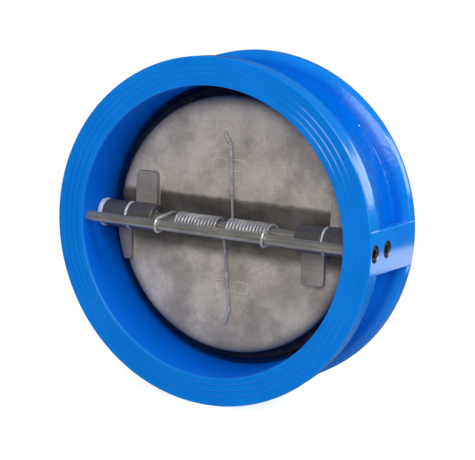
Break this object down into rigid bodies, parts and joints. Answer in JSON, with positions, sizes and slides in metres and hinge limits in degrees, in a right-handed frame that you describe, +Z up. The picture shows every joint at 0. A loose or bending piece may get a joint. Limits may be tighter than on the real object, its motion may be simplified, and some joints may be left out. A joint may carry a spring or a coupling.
{
  "type": "wafer check valve",
  "caption": "Wafer check valve: short ring body that clamps between pipe flanges, with spring-closed half-disc doors that swing on a hinge pin and rest open on a stop pin.",
  "frame": {"origin": "on the pipe axis, midway between the outlet and inlet gasket faces", "axes": "+Y along the pipe towards the inlet (upstream), -Y the outlet that the plates open into, X along the hinge pin and stop pin, +Z up through the middle of the upper plate"},
  "size_m": [0.273, 0.089, 0.273],
  "materials": {
    "blue_paint": "glossy blue epoxy paint on cast iron",
    "seat_rubber": "matt black moulded rubber",
    "plate_casting": "blasted cast stainless steel",
    "pin_steel": "ground stainless steel bar",
    "spring_steel": "bright drawn stainless wire",
    "white_ptfe": "waxy white PTFE",
    "plug_steel": "black oxide",
    "seal_fibre": "red vulcanised fibre"
  },
  "bodies": {
    "body": {"valve_body": "blue_paint", "seat_rubber": "seat_rubber", "hinge_pin": "pin_steel", "stop_pin": "pin_steel", "upper_plate_spring": "spring_steel", "lower_plate_spring": "spring_steel", "knuckle_washer_left": "white_ptfe", "knuckle_washer_right": "white_ptfe", "thrust_washer_left": "white_ptfe", "thrust_washer_right": "white_ptfe", "hinge_plug_left": "plug_steel", "hinge_plug_right": "plug_steel", "stop_plug_left": "plug_steel", "stop_plug_right": "plug_steel", "hinge_plug_seal_left": "seal_fibre", "hinge_plug_seal_right": "seal_fibre", "stop_plug_seal_left": "seal_fibre", "stop_plug_seal_right": "seal_fibre"},
    "upper_door": {"upper_plate": "plate_casting", "upper_plate_inner_bush": "white_ptfe", "upper_plate_outer_bush": "white_ptfe"},
    "lower_door": {"lower_plate": "plate_casting", "lower_plate_inner_bush": "white_ptfe", "lower_plate_outer_bush": "white_ptfe"}
  },
  "joints": [
    {"name": "upper_plate_hinge", "type": "hinge", "parent": "body", "child": "upper_door", "pos_m": [0, -0.0125, 0], "axis": [1, 0, 0], "range_deg": [0, 84], "stiffness_Nm_per_rad": 0.54, "springref_deg": -91.67, "deforming": ["upper_plate_spring"]},
    {"name": "lower_plate_hinge", "type": "hinge", "parent": "body", "child": "lower_door", "pos_m": [0, -0.0125, 0], "axis": [-1, 0, 0], "range_deg": [0, 84], "stiffness_Nm_per_rad": 0.54, "springref_deg": -91.67, "deforming": ["lower_plate_spring"]}
  ]
}
